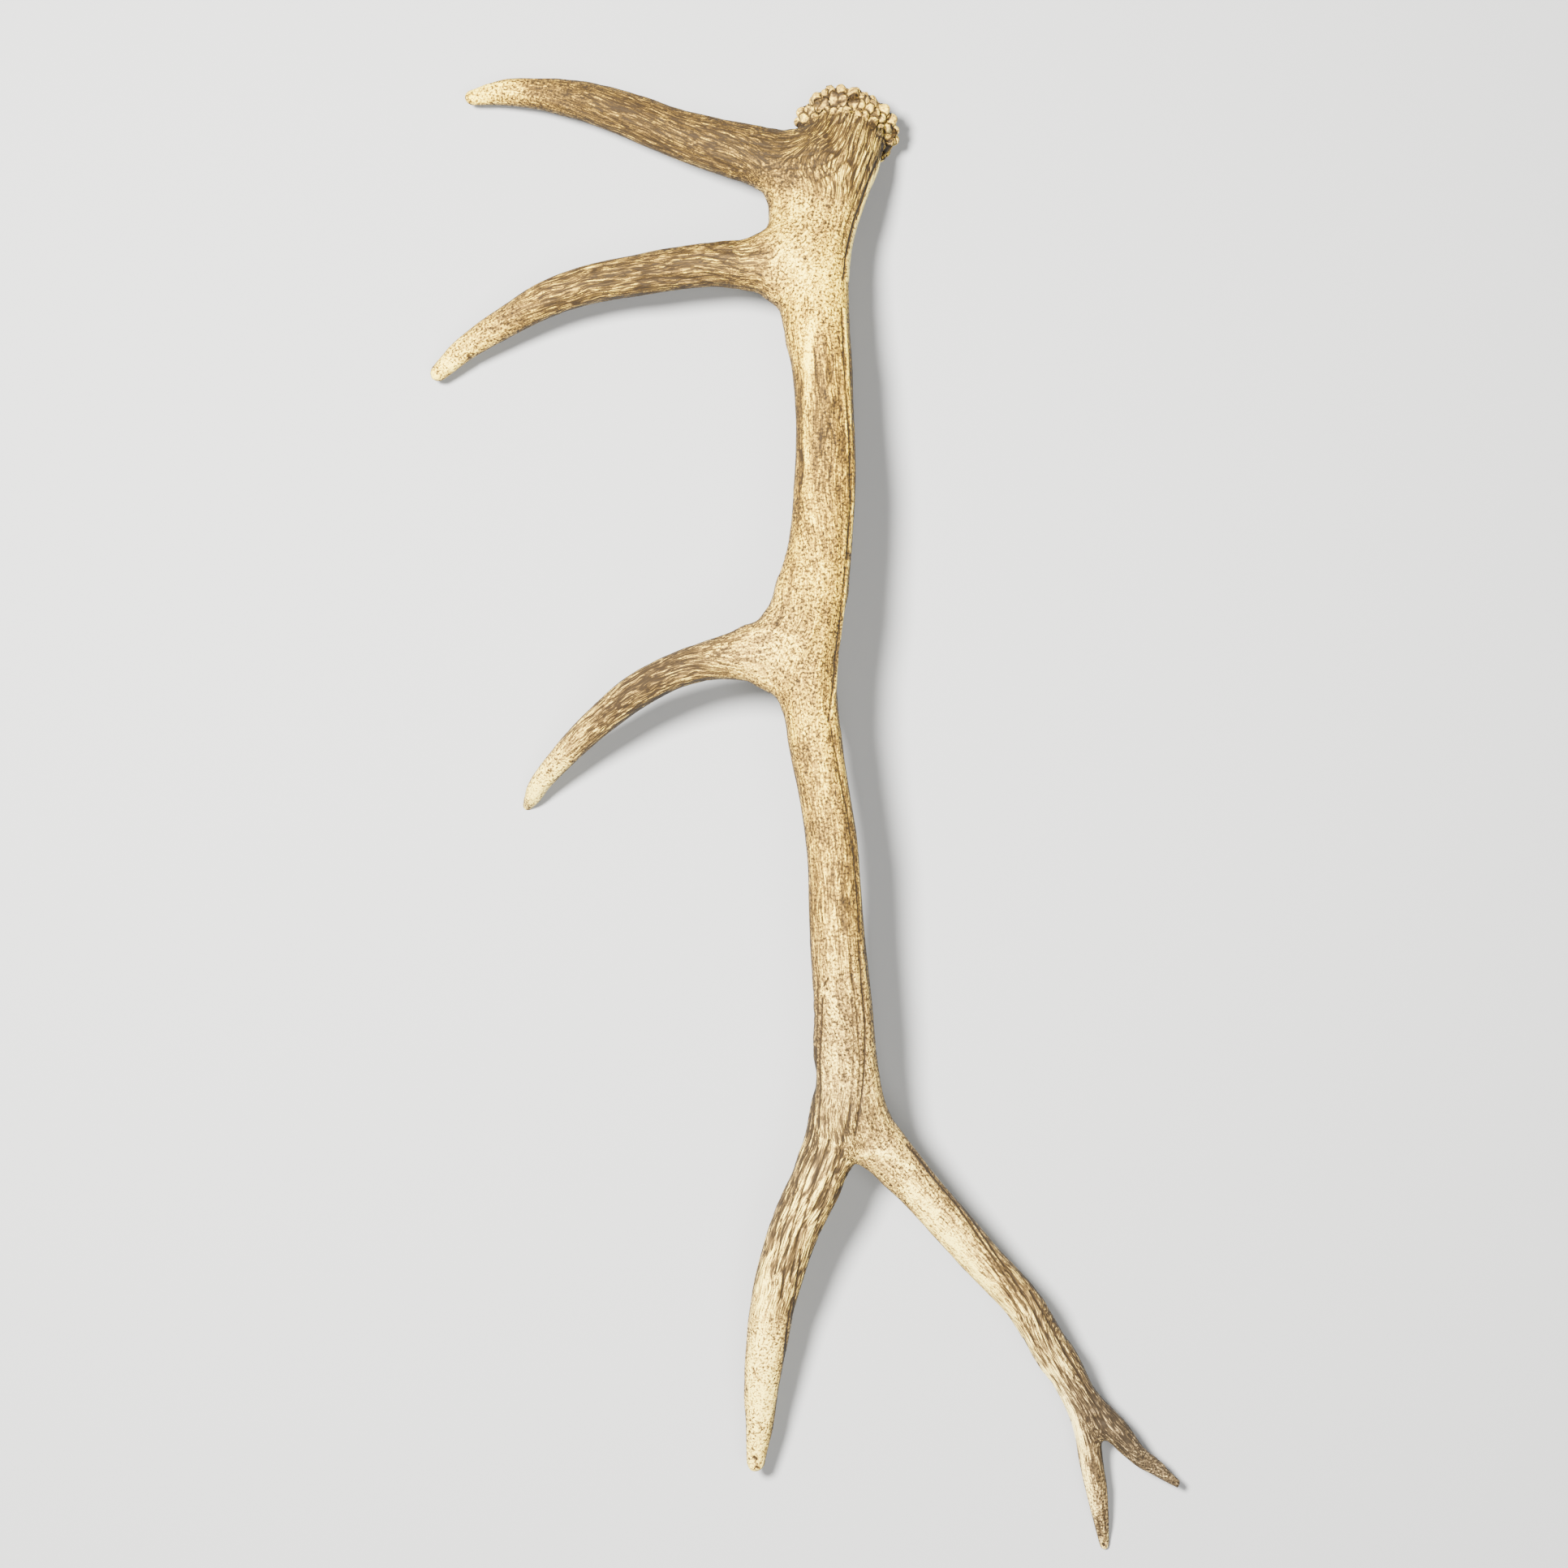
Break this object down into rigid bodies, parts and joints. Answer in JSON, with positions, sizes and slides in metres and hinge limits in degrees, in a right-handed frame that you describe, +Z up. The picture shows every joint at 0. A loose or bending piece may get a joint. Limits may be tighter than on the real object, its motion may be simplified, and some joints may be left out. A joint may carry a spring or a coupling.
{
  "type": "deer antler",
  "caption": "Shed antler of a large deer with a pearled burr, a long bowed beam and pointed tines, lying on its inner side.",
  "frame": {"origin": "on the surface that the antler rests on, under the middle of its box", "axes": "+Y runs from the crown towards the burr, +X away from the long tines, +Z up, out of the antler's outer side"},
  "size_m": [0.6063, 1.1913, 0.1558],
  "materials": {
    "lower_beam": "dry, half-polished antler bone",
    "middle_beam": "dry, half-polished antler bone",
    "upper_beam": "dry, half-polished antler bone",
    "brow_tine": "dry, half-polished antler bone",
    "bez_tine": "dry, half-polished antler bone",
    "trez_tine": "dry, half-polished antler bone",
    "royal_tine": "dry, half-polished antler bone",
    "crown_beam": "dry, half-polished antler bone",
    "crown_tine": "dry, half-polished antler bone"
  },
  "bodies": {
    "root": {"lower_beam": "lower_beam", "middle_beam": "middle_beam", "upper_beam": "upper_beam", "brow_tine": "brow_tine", "bez_tine": "bez_tine", "trez_tine": "trez_tine", "royal_tine": "royal_tine", "crown_beam": "crown_beam", "crown_tine": "crown_tine"}
  },
  "joints": []
}
